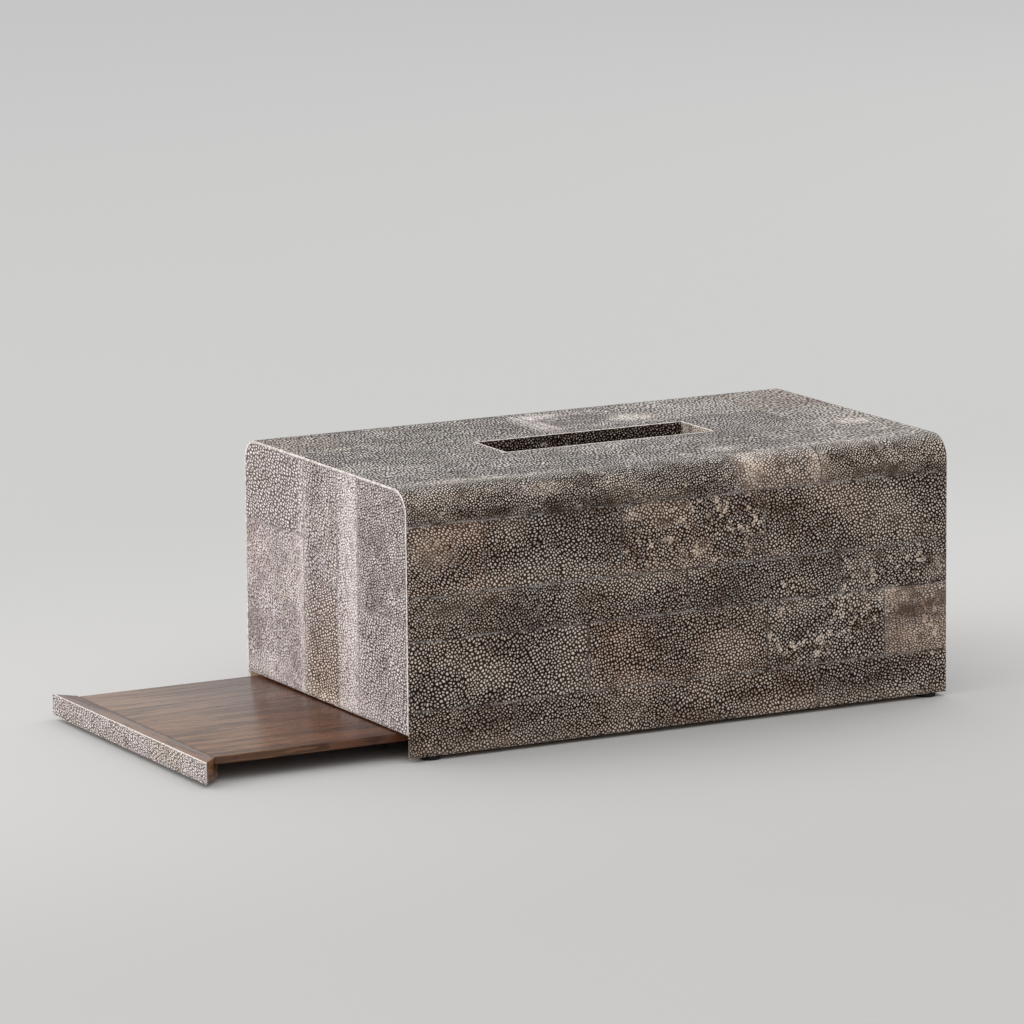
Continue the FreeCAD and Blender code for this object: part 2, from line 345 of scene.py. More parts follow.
def make_shagreen():
    """Pale polished grains on dark dyed hide, each tile with its own tone and grain."""
    r = Recipe("shagreen")
    place = r.place()
    tone, warmth, rubbed, depth, fill = (r.value(name) for name in LOOKS)
    warmth = r.math("ADD", warmth, r.spread(r.noise(place, 28.0, 2.0), 0.35, 0.65, -0.18, 0.18))
    seam, rubs_and_highlights, stain, blush = (r.value(name) for name in SPOTS)

    def hue(lavender, neutral, tan):
        """A colour by the tile's warmth, from cool to warm."""
        cool = r.blend(r.smooth(warmth, 0.0, 0.5), lavender, neutral)
        return r.blend(r.smooth(warmth, 0.5, 1.0), cool, tan)

    # The grains are the cells of a chart that bends a little, and each has colours of its own.
    bend = r.add("TexNoise", {"noise_dimensions": "2D"}, Vector=r.chart("grain"), Scale=0.11, Detail=1.0)
    bend = r.vector("SUBTRACT", bend.outputs["Color"], (0.5, 0.5, 0.5))
    chart = r.vector("MULTIPLY_ADD", bend, (2.2, 2.2, 0.0), r.chart("grain"))

    def cells(feature):
        settings = {"voronoi_dimensions": "2D", "feature": feature}
        return r.add("TexVoronoi", settings, Vector=chart, Scale=1.0, Randomness=GRAIN_SCATTER)

    grain = cells("F1")
    rim = cells("DISTANCE_TO_EDGE").outputs["Distance"]
    own = r.add("SeparateColor", Color=grain.outputs["Color"])
    crown = r.math("DIVIDE", rim, r.math("ADD", rim, grain.outputs["Distance"]))
    crown = r.math("ADD", crown, r.spread(own.outputs["Red"], 0, 1, -0.07, 0.06))

    # Use has rubbed some of the hide flat; some of the given patches are a painted highlight instead.
    patches = r.noise(place, 75.0, 3.0, 0.6)
    specks = r.noise(place, 380.0, 2.0, 0.6)
    wear_and_highlights = r.math("ADD", r.math("MULTIPLY", patches, 0.35), r.math("MULTIPLY", specks, 0.65))
    wear_and_highlights = r.smooth(r.math("ADD", wear_and_highlights, r.spread(rubbed, 0, 1, -0.16, 0.0)), 0.52, 0.57)
    rub_specks_and_highlights = r.math("MULTIPLY", rubs_and_highlights, r.spread(specks, 0.25, 0.60))
    wear_and_highlights = r.add("Clamp", Value=r.math("ADD", wear_and_highlights, rub_specks_and_highlights)).outputs[0]
    crown = r.math("ADD", crown, r.math("ADD", r.math("MULTIPLY", wear_and_highlights, 0.22), fill))

    # Beads stand on the ground, and run together where the hide is fullest.
    bead = r.smooth(crown, 0.28, 0.58)
    merged = r.smooth(r.noise(chart, 2.0, 1.0, dimensions="2D"), 0.49, 0.61)
    bead = r.math("MAXIMUM", bead, r.math("MULTIPLY", merged, r.smooth(fill, 0.01, 0.04, 0.0, 0.92)))

    # A bead's own colour: cloudy, and darker where grime has settled.
    clouds = r.noise(r.scaled(place, (0.5, 1.0, 1.0)), 48.0, 3.0, 0.6)
    grime = r.noise(r.scaled(place, (0.6, 1.0, 1.0)), 210.0, 3.0, 0.6)
    light = r.math("ADD", tone, r.spread(clouds, 0.32, 0.68, -0.5, 0.5))
    dull = hue(tint(168, 150, 150), tint(146, 128, 114), tint(150, 122, 100))
    pale = hue(tint(252, 240, 238), tint(246, 232, 218), tint(246, 225, 208))
    pearl = r.blend(light, dull, pale)
    pearl = r.blend(r.spread(own.outputs["Green"], 0, 1, -0.3, 0.6), pearl, tint(255, 248, 243))
    pearl = r.blend(wear_and_highlights, pearl, hue(tint(250, 240, 237), tint(246, 232, 217), tint(242, 220, 202)))
    grimy = r.math("MULTIPLY", r.smooth(grime, 0.50, 0.68), r.spread(rubbed, 0, 1, 0.35, 0.85))
    pearl = r.blend(grimy, pearl, hue(tint(140, 118, 116), tint(104, 84, 68), tint(110, 84, 64)))
    blot = r.math("MULTIPLY", stain, r.spread(grime, 0.35, 0.55, 0.25, 0.85))
    pearl = r.blend(blot, pearl, hue(tint(124, 102, 100), tint(86, 64, 50), tint(100, 70, 52)))

    # The dyed ground between beads, pale where it is worn and where a highlight is painted.
    dye = hue(tint(36, 20, 17), tint(24, 10, 5), tint(38, 17, 9))
    ground = r.blend(depth, dye, hue(tint(168, 148, 154), tint(160, 142, 134), tint(170, 140, 122)))
    haze = r.math("MULTIPLY", r.smooth(light, 0.6, 1.1), 0.25)
    ground = r.blend(haze, ground, hue(tint(150, 134, 138), tint(128, 112, 98), tint(148, 116, 94)))
    ground = r.blend(r.math("MULTIPLY", wear_and_highlights, 0.82), ground,
                     hue(tint(196, 178, 178), tint(158, 138, 122), tint(168, 138, 116)))

    # Both together, with the reddest places, the dust beside the seams and a painted sheen that greys
    # the top.
    color = r.blend(bead, ground, pearl)
    color = r.blend(blush, color, r.vector("MULTIPLY", color, (1.14, 0.95, 0.86)))
    beside = r.math("MULTIPLY", seam, r.spread(specks, 0.40, 0.65, 0.0, 0.45))
    color = r.blend(beside, color, r.blend(depth, tint(120, 110, 106), tint(206, 194, 194)))
    # Painted sheen: faces that look up lose some colour, standing in for the bright room they reflect.
    top_sheen = r.smooth(r.part(r.normal(), "Z"), 0.6, 0.95, 1.0, 0.7)
    color = r.add("HueSaturation", Saturation=top_sheen, Color=color).outputs[0]
    height = r.math("MULTIPLY", bead, r.spread(own.outputs["Blue"], 0, 1, 0.7, 1.0))
    normal = r.bump(height, 0.8, 0.25 * MM)
    rough = r.spread(bead, 0, 1, 0.60, 0.36)
    return r.finish(color, rough, normal, Specular_IOR_Level=0.15,
                    Specular_Tint=(1.0, 0.66, 0.42, 1.0), Coat_Weight=0.12, Coat_Roughness=0.25)


def make_raw_hide():
    """The hide's cut edge, paler in some places than in others."""
    r = Recipe("raw_hide")
    fibre = r.noise(r.place(), 1 / (1.4 * MM), 3.0, 0.7)
    color = r.blend(r.smooth(fibre, 0.36, 0.62), tint(186, 172, 164), tint(250, 244, 238))
    return r.finish(color, 0.75, r.bump(fibre, 0.3, 0.1 * MM))


def make_seam_line():
    """The glue line between tiles, pale where it stays open and dark where the hide closes over it."""
    r = Recipe("seam_line")
    run = r.noise(r.place(), 1 / (8 * MM), 2.0)
    fibre = r.noise(r.place(), 1 / (1.6 * MM), 2.0, 0.6)
    butted = r.math("ABSOLUTE", r.part(r.normal(), "X"))
    at_left = r.math("LESS_THAN", r.part(r.place(), "X"), SHELL_LOW.x + SKIN)
    shown = r.math("ADD", r.math("MULTIPLY", run, 0.6), r.math("MULTIPLY", fibre, 0.4))
    shown = r.math("ADD", shown, r.math("MULTIPLY", at_left, 0.15))
    shown = r.smooth(r.math("SUBTRACT", shown, r.math("MULTIPLY", butted, 0.11)), 0.45, 0.55)
    color = r.blend(shown, tint(70, 58, 51), tint(182, 176, 174))
    return r.finish(color, 0.75, r.bump(fibre, 0.3, 0.1 * MM))


def make_walnut(name, along, light, dark, painted_reflection=None, joint=None):
    """Straight oiled walnut, grained along one axis.

    It may have a painted reflection that lightens it towards the tray's front, and a dirty line where
    another piece joins it.
    """
    r = Recipe(name)

    def streaks(width, length, detail=1.0):
        """Streaks of a width and length in millimetres."""
        stretch = [1 / width / MM] * 3
        stretch[along] = 1 / length / MM
        return r.noise(r.scaled(r.place(), stretch), 1.0, detail, 0.6)

    figure = streaks(14, 150)
    grain = streaks(4.5, 60, 3.0)
    dashes = streaks(1.5, 18)
    pores = streaks(0.7, 7)
    color = r.blend(r.smooth(figure, 0.25, 0.75), dark, light)
    # Painted reflection: the board is lightened towards the tray's front and keeps its darker colour by
    # the box, as painted shade.
    if painted_reflection:
        out = r.smooth(r.part(r.place(), "X"), *PAINTED_REFLECTION_SPAN, 1.0, 0.0)
        color = r.blend(r.math("MULTIPLY", out, 0.8), color, painted_reflection)
    color = r.blend(r.smooth(grain, 0.48, 0.58, 0.0, 0.6), color, tint(60, 36, 23))
    color = r.blend(r.smooth(dashes, 0.58, 0.64, 0.0, 0.6), color, tint(36, 20, 12))
    if joint is not None:
        away = r.math("SUBTRACT", r.part(r.place(), "X"), joint)
        line = r.smooth(r.math("ABSOLUTE", away), 0.7 * MM, 1.7 * MM, 1.0, 0.0)
        dirt = r.smooth(r.noise(r.place(), 1 / (4 * MM), 2.0), 0.35, 0.6, 0.4, 1.0)
        color = r.blend(r.math("MULTIPLY", line, dirt), color, tint(30, 17, 11))
    pore = r.smooth(pores, 0.62, 0.68)
    color = r.blend(r.math("MULTIPLY", pore, 0.45), color, tint(34, 20, 13))
    height = r.math("ADD", r.math("MULTIPLY", pore, -1.0), r.math("MULTIPLY", grain, 0.3))
    return r.finish(color, r.spread(grain, 0.3, 0.7, 0.20, 0.32), r.bump(height, 0.2, 0.08 * MM),
                    Specular_IOR_Level=0.28, Coat_Weight=0.16, Coat_Roughness=0.14)


def make_rubber():
    """Dull black rubber, faintly speckled."""
    r = Recipe("foot_rubber")
    speck = r.noise(r.place(), 1500.0, 2.0)
    return r.finish(tint(10, 10, 10), r.spread(speck, 0, 1, 0.7, 0.9), r.bump(speck, 0.2, 0.05 * MM))


def make_panel_wood():
    """Panel board, near black inside as painted shade for the box's unlit inside, and left bare on its
    sawn edges.
    """
    r = Recipe("panel_wood")
    across, back, up = (r.part(r.normal(), letter) for letter in LETTER)
    slant = r.math("MULTIPLY", r.math("ABSOLUTE", across), r.math("ABSOLUTE", back))
    under = r.smooth(r.math("MULTIPLY", up, -1.0), 0.8, 0.9)
    low = r.math("LESS_THAN", r.part(r.place(), "Z"), SAWN_BELOW)
    bare = r.math("MAXIMUM", r.smooth(slant, 0.2, 0.4), r.math("MULTIPLY", under, low))
    grain = r.noise(r.scaled(r.place(), (60.0, 900.0, 900.0)), 1.0, 3.0)
    # The near-black colour is painted shade.
    color = r.blend(bare, tint(30, 27, 25), r.blend(grain, tint(194, 164, 136), tint(158, 128, 102)))
    return r.finish(color, 0.7, r.bump(grain, 0.15, 0.1 * MM))


# ------------------------------------------------------------------ hide tiles

# How far apart on the grain's chart a row's neighbouring tiles lie, in grains.
CHART_STEP = (13.7, 5.3)


class Hide:
    """How one tile of shagreen looks.

    Its tone runs from dark to pale and its warmth from lavender to tan. Rubbed is how much of its
    grain is worn flat, depth how grey its ground is and fill how full its beads are. The grain has
    a pitch in millimetres, a turn in degrees and a stretch.
    """

    def __init__(self, tone, warmth, rubbed=0.2, depth=0.0, pitch=1.6, turn=0.0, stretch=1.0, fill=0.0):
        self.tone = tone
        self.warmth = warmth
        self.rubbed = rubbed
        self.depth = depth
        self.fill = fill
        self.pitch = pitch
        self.turn = math.radians(turn)
        self.stretch = stretch

    def chart_place(self, across, up, number):
        """Where a point falls on the grain's chart, one unit to a grain."""
        u = across * math.cos(self.turn) + up * math.sin(self.turn)
        v = up * math.cos(self.turn) - across * math.sin(self.turn)
        pitch = self.pitch * MM
        u = u / pitch / self.stretch + CHART_STEP[0] * (number + 1)
        v = v / pitch * self.stretch + CHART_STEP[1] * number
        return u, v


LOOKS = ("tone", "warmth", "rubbed", "depth", "fill")
# Per point: seam dust, rubs and painted highlights, stains and blushes.
SPOTS = ("seam", "rubs_and_highlights", "stain", "blush")

# The tiles of each row from the left, and of each end column from the bottom.
CHOSEN = {
    "near_row_one": [
        Hide(0.48, 0.8, 0.3, pitch=1.3, turn=25),
        Hide(0.44, 0.72, 0.2, pitch=1.3, turn=50),
        Hide(0.58, 0.75, 0.2, pitch=1.45, turn=20),
        Hide(0.50, 0.65, 0.3, pitch=1.35, turn=70),
    ],
    "near_row_two": [
        Hide(0.85, 0.55, 0.2, pitch=1.5, turn=32),
        Hide(0.68, 0.85, 0.2, pitch=1.37, turn=15),
        Hide(0.75, 0.6, 0.75, pitch=1.38, turn=40),
        Hide(0.65, 0.9, 0.7, 0.2, 1.2, 10, 1.2, 0.02),
    ],
    "near_row_three": [
        Hide(0.62, 0.65, 0.3, pitch=1.22, turn=30),
        Hide(0.58, 0.6, 0.4, pitch=1.3, turn=55),
        Hide(0.40, 0.6, 0.3, pitch=1.3, turn=20),
        Hide(0.60, 0.5, 0.7, pitch=1.3, turn=40),
    ],
    "near_row_four": [
        Hide(0.88, 0.92, 0.4, pitch=1.32, turn=-38, stretch=1.25),
        Hide(0.66, 0.62, 0.1, pitch=1.4, turn=35),
        Hide(0.66, 0.75, 0.8, pitch=1.34, turn=60),
        Hide(0.68, 0.66, 0.3, pitch=1.37, turn=30),
    ],
    "near_edge": [
        Hide(0.65, 0.5, 0.5, pitch=1.1, turn=35),
        Hide(0.70, 0.5, 0.5, pitch=1.1, turn=15),
        Hide(0.98, 0.58, 0.6, 0.16, 1.3, 30, fill=0.008),
        Hide(0.85, 0.6, 0.6, pitch=1.1, turn=50),
    ],
    "left_column_one": [
        Hide(1.05, 0.12, 0.3, 0.0, 1.62, 12, 1.35, 0.024),
        Hide(0.55, 0.05, 0.3, 0.06, 1.53, -18, 1.35, 0.026),
    ],
    "left_column_two": [Hide(1.80, 0.0, 0.3, 0.0, 1.57, -14, 1.33, 0.037)],
    "left_column_three": [
        Hide(1.15, 0.25, 0.4, 0.02, 1.72, -20, 1.38, 0.018),
        Hide(0.98, 0.20, 0.3, 0.0, 1.68, 15, 1.38, 0.026),
    ],
    "left_column_four": [
        Hide(0.52, 0.05, 0.3, 0.26, 1.62, 14, 1.35, 0.055),
        Hide(2.0, 0.05, 0.2, 0.0, 1.82, 18, 1.30, 0.020),
    ],
    "top_near": [
        Hide(0.62, 0.35, 0.5, 0.0, 2.0, 85, 1.45),
        Hide(0.58, 0.30, 0.4, 0.0, 2.0, 70, 1.4),
        Hide(0.66, 0.35, 0.5, 0.0, 2.1, 85, 1.45),
        Hide(0.80, 0.45, 0.5, 0.0, 2.0, 105, 1.4, 0.012),
    ],
    "top_middle": [
        Hide(0.60, 0.30, 0.4, 0.0, 2.0, 75, 1.45),
        Hide(0.56, 0.30, 0.3, 0.0, 1.9, 80, 1.4),
        Hide(0.90, 0.45, 0.4, 0.0, 2.0, 100, 1.4, 0.012),
    ],
    "top_far": [
        Hide(0.66, 0.80, 0.4, 0.06, 2.0, 85, 1.45),
        Hide(0.56, 0.30, 0.3, 0.0, 2.0, 80, 1.45),
        Hide(0.40, 0.25, 0.5, 0.05, 2.0, 65, 1.4, 0.02),
        Hide(0.85, 0.35, 0.3, 0.04, 2.0, 85, 1.45, 0.01),
        Hide(0.66, 0.90, 0.4, 0.08, 2.0, 105, 1.4, 0.01),
    ],
    "tray_facing": [Hide(1.35, 0.20, 0.4, 0.05, 1.42, 12, 1.38, 0.024)],
    "slot_lining_right": [Hide(1.0, 0.6, 0.7, 0.1, pitch=1.2, turn=30, fill=0.03)],
}
# Painted shade: the slot's near, far and left linings get a near-black tone for the shade inside the
# slot, while the right lining, which catches the light, stays pale.
for wall in ("near", "far", "left"):
    CHOSEN[f"slot_lining_{wall}"] = [Hide(0.1, 0.6, 0.2, pitch=1.3, turn=30, fill=-0.05)]

HIDE_SEED = 7
chance = random.Random(HIDE_SEED)


def hide_for(row, number):
    """A tile's chosen look, or one by chance where none is chosen."""
    if row in CHOSEN:
        return CHOSEN[row][number]
    return Hide(chance.uniform(0.3, 0.6), chance.uniform(0.2, 0.8), chance.uniform(0.0, 0.6),
                0.0, chance.uniform(1.3, 1.7), chance.uniform(20, 70), chance.uniform(1.0, 1.2))


DRIFT = 1.6 * MM
DRIFT_WAVELENGTH = 22 * MM
HIDE_ROUNDING = 0.17 * MM
ARC_STEPS = 14

seam_noise = bpy.data.textures.new("seam_drift", "CLOUDS")
seam_noise.noise_scale = DRIFT_WAVELENGTH
seam_noise.noise_depth = 1


def inset(value, axis):
    """How far in from the nearer side of the shell a place along an axis is."""
    return min(abs(value - SHELL_LOW[axis]), abs(value - SHELL_HIGH[axis]))


def unrolled(point):
    """A point's place on the wrapping hide laid flat: along the box, and up and over its side."""
    if point.z <= SHOULDER:
        return point.x, point.z
    side = inset(point.y, Y)
    if side >= EDGE_RADIUS:
        return point.x, SHOULDER + EDGE_RADIUS * (math.pi / 2 - 1) + side
    angle = math.atan2(point.z - SHOULDER, EDGE_RADIUS - side)
    return point.x, SHOULDER + EDGE_RADIUS * angle


def outward(point, face):
    """Which way the hide faces at a point."""
    if face != "wrap":
        return Vector(face)
    aside = max(0.0, EDGE_RADIUS - inset(point.y, Y))
    above = max(0.0, point.z - SHOULDER)
    return Vector((0, -aside if point.y < 0 else aside, above)).normalized()


END_FACES = ((-1, 0, 0), (1, 0, 0))
END_DEPTH = 0.8 * SKIN
FACES_OUT = 0.97
RAW_EDGED = ("tray_facing", "slot_lining_near", "slot_lining_far", "slot_lining_left",
             "slot_lining_right")
GRAINED, CUT, GLUED = range(3)


class Patch:
    """A place where the hide is rubbed pale, stained dark or tanned redder, or given a painted
    highlight.

    Its middle is given from the shell's low corner, and it fades out over its reach along each
    axis, all in millimetres.
    """

    def __init__(self, middle, reach, strength):
        self.middle = SHELL_LOW + Vector(middle) * MM
        self.reach = Vector(reach) * MM
        self.strength = strength

    def at(self, point):
        offset = [(point[i] - self.middle[i]) / self.reach[i] for i in range(3)]
        return self.strength * max(0.0, 1.0 - sum(value * value for value in offset))


def chart_hide(piece, row, face, axis, places, spread):
    """Lays the grain's chart on the tiles and gives each tile its own look."""
    mesh = piece.data
    looks = [hide_for(row, number) for number in range(len(places) + 1)]
    values = {name: [] for name in LOOKS}
    slots = []
    chart = [(0.0, 0.0)] * len(mesh.loops)
    seam = [0.0] * len(mesh.vertices)
    for polygon in mesh.polygons:
        number = sum(1 for place in places if polygon.center[axis] > place)
        look = looks[number]
        for name in LOOKS:
            values[name].append(getattr(look, name))
        flat = polygon.normal.dot(outward(polygon.center, face)) > FACES_OUT
        at_end = face not in END_FACES and (polygon.center.x - SHELL_LOW.x < END_DEPTH
                                             or SHELL_HIGH.x - polygon.center.x < END_DEPTH)
        slots.append(GRAINED if flat else CUT if at_end or row in RAW_EDGED else GLUED)
        if not flat and row not in RAW_EDGED:
            for vertex in polygon.vertices:
                seam[vertex] = 1.0
        for loop in polygon.loop_indices:
            across, up = spread(mesh.vertices[mesh.loops[loop].vertex_index].co)
            chart[loop] = look.chart_place(across, up, number)
    placed = ([min(1.0, sum(spot.at(vertex.co) for spot in spots)) for vertex in mesh.vertices]
              for spots in (RUBBED_AND_HIGHLIT_PATCHES, STAINS, BLUSHES))
    while mesh.uv_layers:
        mesh.uv_layers.remove(mesh.uv_layers[0])
    mesh.uv_layers.new(name="grain")
    mesh.uv_layers["grain"].data.foreach_set("uv", [value for pair in chart for value in pair])
    for name in LOOKS:
        mesh.attributes.new(name, "FLOAT", "FACE")
        mesh.attributes[name].data.foreach_set("value", values[name])
    for name, shares in zip(SPOTS, (seam, *placed)):
        mesh.attributes.new(name, "FLOAT", "POINT")
        mesh.attributes[name].data.foreach_set("value", shares)
    for material in (SHAGREEN, RAW_HIDE, SEAM_LINE):
        mesh.materials.append(material)
    mesh.polygons.foreach_set("material_index", slots)


RUBBED_AND_HIGHLIT_PATCHES = (
    Patch((172, 114, 114.6), (13, 9, 6), 1.6),
    Patch((136, 134, 114.6), (14, 7, 6), 1.0),
    Patch((126, 118, 114.6), (7, 26, 6), 1.3),
    # These two long streaks along the top of the near edge are a painted highlight, where the rounded
    # edge catches the light.
    Patch((215, 13, 114.6), (45, 3.5, 4), 0.6),
    Patch((60, 12, 114.6), (50, 4, 4), 0.4),
    Patch((166, 24, 114.6), (10, 10, 6), 0.7),
    Patch((252, 54, 114.6), (10, 8, 6), 2.5),
    Patch((26, 53, 114.6), (18, 2.5, 6), 0.8),
    Patch((30, 14, 114.6), (30, 6, 8), 0.5),
    Patch((66, 0, 110), (12, 8, 4), 0.5),
    Patch((109, 0, 94), (6, 4, 4), 0.6),
    Patch((142, 0, 76), (7, 4, 4), 0.5),
    Patch((224, 0, 62), (9, 4, 5), 0.5),
    Patch((262, 0, 57), (7, 4, 8), 0.6),
    Patch((240, 0, 47), (14, 4, 4), 0.8),
    Patch((250, 0, 28), (20, 4, 4), 0.4),
    Patch((14, 0, 88), (14, 4, 10), 0.5),
    Patch((40, 0, 2), (70, 4, 5), 0.3),
    Patch((200, 0, 2), (90, 4, 5), 0.3),
    Patch((0, 52, 60), (4, 11, 80), 0.65),
    Patch((0, 99, 60), (4, 6, 80), 0.8),
    Patch((0, 120, 15), (4, 40, 6), 0.6),
    Patch((0, 40, 14), (4, 30, 6), 0.6),
    Patch((0, 74, 11), (4, 30, 5), 0.8),
    Patch((169, 4, 108), (7, 9, 12), 1.2),
    Patch((202, 4, 106), (6, 8, 9), 1.2),
)
STAINS = (
    Patch((75, 0, 101.5), (100, 5, 4.5), 1.0),
    Patch((236, 0, 101.5), (42, 5, 4.5), 1.0),
    Patch((30, 0, 62), (34, 4, 6), 0.6),
    Patch((253, 0, 39), (18, 4, 4), 1.0),
    Patch((86, 2, 112), (6, 6, 5), 0.6),
    Patch((144, 120, 114.6), (20, 16, 6), 1.0),
    Patch((52, 144, 114.6), (18, 8, 6), 0.7),
    Patch((244, 24, 114.6), (26, 7, 6), 0.7),
    Patch((0, 88, 40), (4, 12, 22), 0.35),
    Patch((0, 30, 66), (4, 12, 12), 0.6),
)
BLUSHES = (
    Patch((0, 79, 26), (4, 19, 46), 0.5),
    Patch((0, 142, 64), (4, 14, 22), 0.2),
    Patch((26, 0, 92), (22, 4, 15), 0.3),
    Patch((104, 0, 40), (20, 4, 18), 0.4),
)


def beside(axis, places, reach):
    """A test for points within reach of any of several places along an axis."""
    return lambda point: any(abs(point[axis] - place) < reach for place in places)


def drift_seams(piece, axis, places, reach):
    """Lets the seams at some places along an axis wander a little, as hand-laid tiles do."""
    letter = LETTER[axis]
    group(piece, f"seam_{letter}", beside(axis, places, reach))
    modify(piece, "DISPLACE", texture=seam_noise, texture_coords="LOCAL", direction=letter,
           strength=DRIFT, mid_level=0.5, vertex_group=f"seam_{letter}")


WAVE_CUTS = 15
GRID = 4 * MM
BESIDE_SEAM = 1.6 * MM


def start_flat_row(row, facing):
    """A row's sheet on a flat face of the box."""
    low, high = (corner.copy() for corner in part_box(f"{row}_tiles"))
    for axis in range(3):
        if facing[axis] > 0:
            low[axis] = high[axis]
        elif facing[axis] < 0:
            high[axis] = low[axis]
    return start_sheet(f"hide_{row}", facing, low, high)


def start_edge_row(row):
    """A row's sheet that runs up a side and over the rounded edge."""
    low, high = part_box(f"{row}_tiles")
    near = low.y < 0
    edge, seam = (low.y, high.y) if near else (high.y, low.y)
    inner = edge + 2 * (seam - edge)
    piece = start_sheet(f"hide_{row}", (0, 0, 1), Vector((low.x, min(edge, inner), high.z)),
                        Vector((high.x, max(edge, inner), high.z)))

    def outer(start, end):
        return max(abs(point.y - edge) for point in (start, end)) < HAIR

    def corner(start, end):
        return max(abs(point.y - edge) + abs(point.z - high.z) for point in (start, end)) < HAIR

    select_edges(piece, outer)
    bpy.ops.mesh.extrude_region_move(TRANSFORM_OT_translate={"value": (0, 0, low.z - high.z)})
    select_edges(piece, corner)
    bpy.ops.mesh.bevel(offset=EDGE_RADIUS, segments=ARC_STEPS, affect="EDGES")
    saw(Y, seam)
    remove_faces(piece, lambda centre, normal: abs(centre.y - edge) > abs(seam - edge))
    bpy.ops.mesh.select_all(action="SELECT")
    bpy.ops.mesh.normals_make_consistent(inside=False)
    select_faces(piece, lambda centre, normal: centre.z < SHOULDER and normal.y * centre.y < 0)
    bpy.ops.mesh.select_linked()
    bpy.ops.mesh.flip_normals()
    return piece


def part_tiles(piece, places, axis):
    """Saws a sheet apart at its joints, with the width of a glue line between the tiles."""
    for place in places:
        saw(axis, place - SEAM / 2)
        saw(axis, place + SEAM / 2)
    if places:
        between = beside(axis, places, SEAM / 2)
        remove_faces(piece, lambda centre, normal: between(centre))


def saw_grid(low, high, axis, places):
    """Crosses a sheet with lines along which its seams can wander, clear of the joints themselves."""
    stops = [low, *places, high]
    for start, end in zip(stops, stops[1:]):
        width = end - start - 2 * BESIDE_SEAM
        steps = max(1, round(width / GRID))
        for step in range(steps + 1):
            saw(axis, start + BESIDE_SEAM + width * step / steps)


def dress_row(row, facing, axis, up_axes, spread, shape=None):
    """Models one row of tiles, lets its seams wander, gives it thickness and finishes it."""
    node = f"{row}_tiles"
    low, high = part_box(node)
    places = joints(node, axis)
    piece = start_edge_row(row) if facing == "wrap" else start_flat_row(row, facing)
    if shape:
        shape(piece)
    part_tiles(piece, places, axis)
    saw_grid(low[axis], high[axis], axis, places)
    if facing == "wrap":
        saw(Z, low.z + BESIDE_SEAM)
    else:
        for up_axis in up_axes:
            saw_grid(low[up_axis], high[up_axis], up_axis, [])
    bpy.ops.object.mode_set(mode="OBJECT")

    for up_axis in up_axes:
        seams = [edge for edge in (low[up_axis], high[up_axis]) if not stays_straight(edge, up_axis)]
        if seams:
            drift_seams(piece, up_axis, seams, HAIR)
    if places:
        drift_seams(piece, axis, places, SEAM)
    modify(piece, "SOLIDIFY", thickness=SKIN, offset=-1, use_even_offset=True)
    if row.endswith("row_one"):
        mitre_mouth(piece)
    soften(piece, HIDE_ROUNDING, 2)
    chart_hide(piece, row, facing, axis, places, spread)
    settle(piece, "shell", node)


def on_box_edge(value, axis):
    """Whether a place along an axis is on the box's own edge, or behind the hide that meets it there."""
    return inset(value, axis) < SKIN + HAIR


def stays_straight(value, axis):
    """A tile's side on the box's own edge, or where the rounded edge runs out, doesn't wander."""
    return on_box_edge(value, axis) or (axis == Y and abs(inset(value, axis) - EDGE_RADIUS) < SEAM)


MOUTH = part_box("left_column_one_tiles")[0].z


def mark_mouth(piece):
    """Lines across a bottom row of tiles where the mouth for the tray ends."""
    saw(Z, MOUTH)
    saw(Z, MOUTH + SEAM)


def mitre_mouth(piece):
    """Cuts the hide's end back at 45 degrees beside the mouth, to meet the tray's lip."""
    for point in piece.data.vertices:
        inner = inset(point.co.y, Y) > SKIN / 2
        if inner and point.co.x < SHELL_LOW.x + HAIR and point.co.z < MOUTH + HAIR:
            point.co.x += SKIN


def open_slot(piece):
    """Cuts the tissue slot out of the middle row of the top."""
    low, high = SLOT_LOW.copy(), SLOT_HIGH.copy()
    for axis in (X, Y):
        low[axis] -= SKIN
        high[axis] += SKIN
        saw(axis, low[axis])
        saw(axis, high[axis])
    remove_faces(piece, lambda centre, normal: low.x < centre.x < high.x and low.y < centre.y < high.y)


def round_corner(piece):
    """Rounds an end sheet's outer top corner to follow the box's long edge."""
    radius = EDGE_RADIUS - SKIN
    bpy.ops.mesh.select_mode(type="VERT")
    bpy.ops.mesh.select_all(action="DESELECT")
    bpy.ops.object.mode_set(mode="OBJECT")
    for point in piece.data.vertices:
        outer = on_box_edge(point.co.z, Z) and on_box_edge(point.co.y, Y)
        point.select = outer and point.co.z > SHOULDER
    bpy.ops.object.mode_set(mode="EDIT")
    bpy.ops.mesh.bevel(offset=radius, offset_type="OFFSET", segments=ARC_STEPS, affect="VERTICES")


def side_chart(point):
    """Along and up a side of the box; the ends and the top have charts of their own."""
    return point.x, point.z


def end_chart(point):
    return point.y, point.z


def top_chart(point):
    return point.x, point.y


SHAGREEN = make_shagreen()
RAW_HIDE = make_raw_hide()
SEAM_LINE = make_seam_line()
# The board's last colour is its painted reflection, towards the tray's front.
BOARD_WALNUT = make_walnut("board_walnut", X, tint(100, 58, 37), tint(78, 42, 26), tint(138, 100, 70))
LIP_WALNUT = make_walnut("lip_walnut", Y, tint(136, 94, 66), tint(110, 74, 50),
                         joint=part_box("tray_board")[0].x)
RUBBER = make_rubber()
PANEL_WOOD = make_panel_wood()


